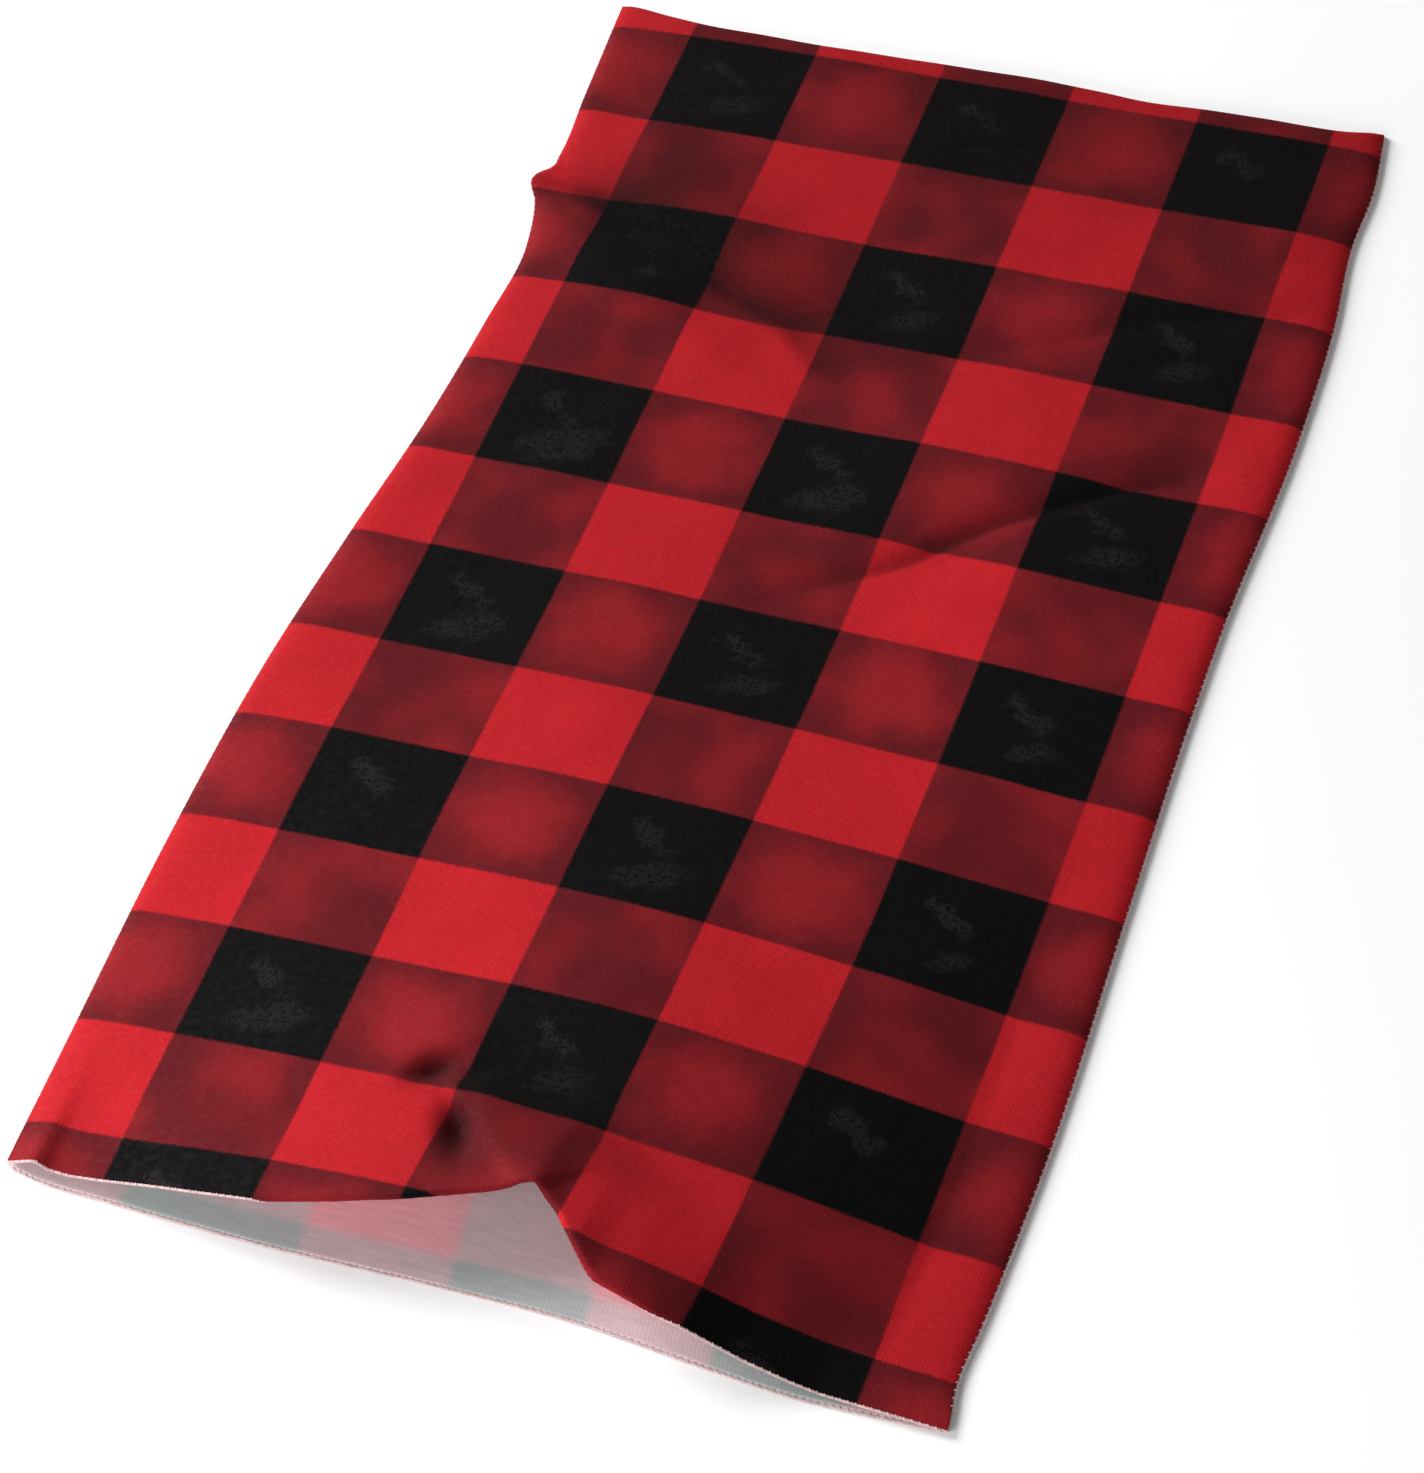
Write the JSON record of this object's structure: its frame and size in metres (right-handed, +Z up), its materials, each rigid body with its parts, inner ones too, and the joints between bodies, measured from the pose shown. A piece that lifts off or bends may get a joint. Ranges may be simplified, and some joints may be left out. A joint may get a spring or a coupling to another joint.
{
  "type": "neck gaiter",
  "caption": "Stretchy printed knit tube worn round the neck, laid flat with its mouth lifted, sewn from a front and a back panel.",
  "frame": {"origin": "middle of the base: the point of the supporting surface under the middle of the laid tube", "axes": "+Y along the tube from the lifted mouth to the far end, +X across it to the right seen from above, +Z up from the surface it lies on"},
  "size_m": [0.2598, 0.4538, 0.0272],
  "materials": {
    "front_knit": "matt brushed knit printed with a red and black buffalo check, white on the reverse",
    "back_knit": "matt brushed knit printed with a red and black buffalo check, white on the reverse",
    "seam_thread": "textured polyester overlock thread, off-white tinted pink",
    "edging_thread": "textured polyester overlock thread, off-white tinted pink"
  },
  "bodies": {
    "root": {"front_panel": "front_knit", "back_panel": "back_knit", "left_side_seam": "seam_thread", "right_side_seam": "seam_thread", "front_mouth_edging": "edging_thread", "back_mouth_edging": "edging_thread", "front_far_edging": "edging_thread", "back_far_edging": "edging_thread"}
  },
  "joints": []
}
